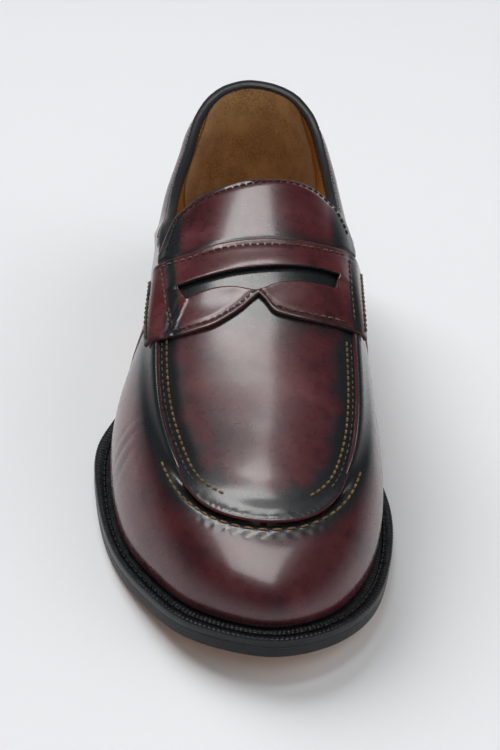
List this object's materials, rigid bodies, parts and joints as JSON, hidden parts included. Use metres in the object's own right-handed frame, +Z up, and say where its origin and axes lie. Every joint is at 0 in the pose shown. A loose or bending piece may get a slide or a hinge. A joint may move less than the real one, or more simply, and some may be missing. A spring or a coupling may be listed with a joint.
{
  "type": "penny loafer",
  "caption": "Right-foot slip-on leather shoe with a stitched apron, slotted saddle strap, bound collar, welted leather sole and stacked heel.",
  "frame": {"origin": "Middle of the plan outline at ground level: the ground is z = 0 under the heel's top piece and the ball of the sole.", "axes": "+Z up, -Y towards the toe, +Y towards the heel, -X lateral (outer) side and +X medial (inner) side of a right shoe."},
  "size_m": [0.1158, 0.3001, 0.0989],
  "materials": {
    "sole_leather": "waxed, edge dyed charcoal",
    "welt_leather": "dyed black, ribbed top",
    "cork": "granulated cork",
    "steel": "rolled",
    "insole_leather": "natural",
    "rib_canvas": "canvas",
    "stacked_leather": "dyed and burnished edge",
    "rubber": "matt",
    "brass": "drawn",
    "upper_burgundy": "polished burgundy box calf, antiqued edges",
    "binding_black": "polished",
    "lining_canvas": "cotton drill",
    "lining_tan": "smooth natural lining leather",
    "suede_brown": "suede",
    "stiffener": "impregnated felt",
    "counter_board": "leather board",
    "thread_dark": "waxed thread",
    "thread_ochre": "waxed thread"
  },
  "bodies": {
    "root": {"outsole": "sole_leather", "welt": "welt_leather", "heel_rand": "welt_leather", "cork_filler": "cork", "shank": "steel", "insole": "insole_leather", "insole_rib": "rib_canvas", "sock_lining": "lining_tan", "heel_lift_1": "stacked_leather", "heel_lift_2": "stacked_leather", "heel_lift_3": "stacked_leather", "heel_top_piece": "rubber", "heel_nails": "brass", "vamp": "upper_burgundy", "apron": "upper_burgundy", "saddle_strap": "upper_burgundy", "quarter_lateral": "upper_burgundy", "quarter_medial": "upper_burgundy", "back_strap": "upper_burgundy", "topline_binding": "binding_black", "vamp_lining": "lining_canvas", "apron_lining": "lining_canvas", "quarter_lining_lateral": "lining_tan", "quarter_lining_medial": "lining_tan", "heel_grip": "suede_brown", "toe_puff": "stiffener", "heel_counter": "counter_board", "welt_stitching": "thread_dark", "apron_stitching": "thread_ochre", "strap_stitching": "thread_dark", "topline_stitching": "thread_dark"},
    "tongue": {"tongue": "upper_burgundy", "tongue_lining": "lining_tan", "tongue_stitching": "thread_dark"}
  },
  "joints": [
    {"name": "tongue_flex", "type": "hinge", "parent": "root", "child": "tongue", "pos_m": [0.00323, -0.0005, 0.085], "axis": [0.9901, 0.14, 0.013], "range_deg": [0, 20], "stiffness_Nm_per_rad": 0.05}
  ]
}
